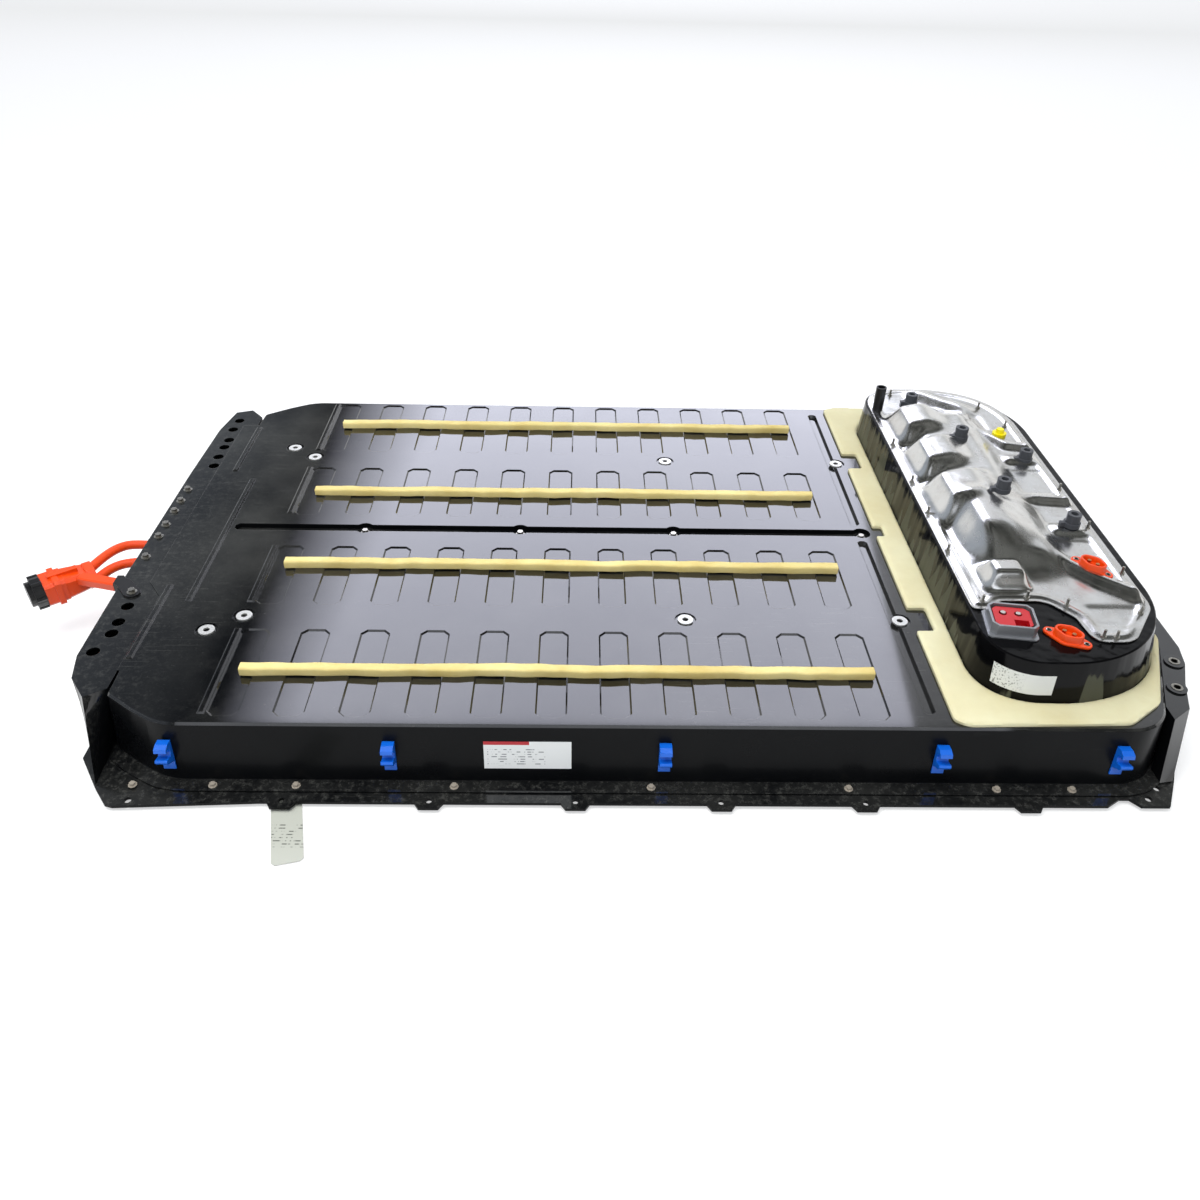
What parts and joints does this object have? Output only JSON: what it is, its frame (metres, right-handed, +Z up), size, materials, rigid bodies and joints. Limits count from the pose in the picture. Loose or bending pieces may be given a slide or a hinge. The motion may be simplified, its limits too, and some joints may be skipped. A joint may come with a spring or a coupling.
{
  "type": "electric vehicle traction battery pack",
  "caption": "Flat black battery pack for an electric car, with a scalloped flange, foam strips, an orange power lead and a silver electronics lid at one end.",
  "frame": {"origin": "middle of the flat underside of the pack body, leaving out the front connector", "axes": "+X from the front connector to the rear electronics lid, +Y across the pack, +Z up"},
  "size_m": [2.3707, 1.5529, 0.325],
  "materials": {
    "black_steel": "gloss e-coat",
    "tray_steel": "satin e-coat",
    "cast_lid": "bright pressed",
    "aluminium": "extruded",
    "zinc_steel": "zinc plated",
    "black_rubber": "matte",
    "grey_rubber": "matte",
    "black_plastic": "moulded",
    "orange_plastic": "moulded",
    "orange_sleeve": "satin",
    "red_plastic": "moulded",
    "yellow_plastic": "moulded",
    "blue_plastic": "moulded",
    "cream_foam": "foam",
    "white_card": "printed film",
    "copper": "bare copper",
    "cell_block": "potted cells",
    "green_board": "circuit board"
  },
  "bodies": {
    "root": {"base_tray": "tray_steel", "bracket_bolt": "zinc_steel", "cable_clamp": "black_plastic", "cable_glands": "black_rubber", "cell_module_far_inner": "cell_block", "cell_module_far_outer": "cell_block", "cell_module_near_inner": "cell_block", "cell_module_near_outer": "cell_block", "centre_beam": "aluminium", "channel_bolts": "black_steel", "connector_bracket": "black_steel", "contactors": "black_plastic", "coolant_manifold": "black_plastic", "cover_collars": "zinc_steel", "cover_flange_bolts": "zinc_steel", "cover_seal": "black_rubber", "drive_header": "orange_plastic", "drive_header_terminals": "copper", "ear_sleeves": "zinc_steel", "electronics_plate": "aluminium", "far_beam": "aluminium", "foam_strip_1": "cream_foam", "foam_strip_2": "cream_foam", "foam_strip_3": "cream_foam", "foam_strip_4": "cream_foam", "foam_surround": "cream_foam", "front_bolts": "zinc_steel", "front_crossmember": "black_steel", "hanging_tag": "white_card", "hv_cable_lower": "orange_sleeve", "hv_cable_upper": "orange_sleeve", "hv_connector_body": "orange_plastic", "hv_connector_cap": "black_plastic", "lid_grommets": "grey_rubber", "lid_seal": "black_rubber", "lid_studs": "zinc_steel", "low_voltage_connector": "black_plastic", "management_board": "green_board", "module_busbars": "copper", "near_beam": "aluminium", "penthouse_lid": "cast_lid", "penthouse_skirt": "black_steel", "power_converter": "aluminium", "pyro_fuse": "black_plastic", "rear_crossmember": "black_steel", "rear_header": "orange_plastic", "rear_header_terminals": "copper", "red_header_insulator": "red_plastic", "red_header_shroud": "cast_lid", "red_header_terminals": "copper", "service_cap": "yellow_plastic", "side_clips": "blue_plastic", "side_label": "white_card", "skirt_sticker": "white_card", "top_cover": "black_steel"}
  },
  "joints": []
}
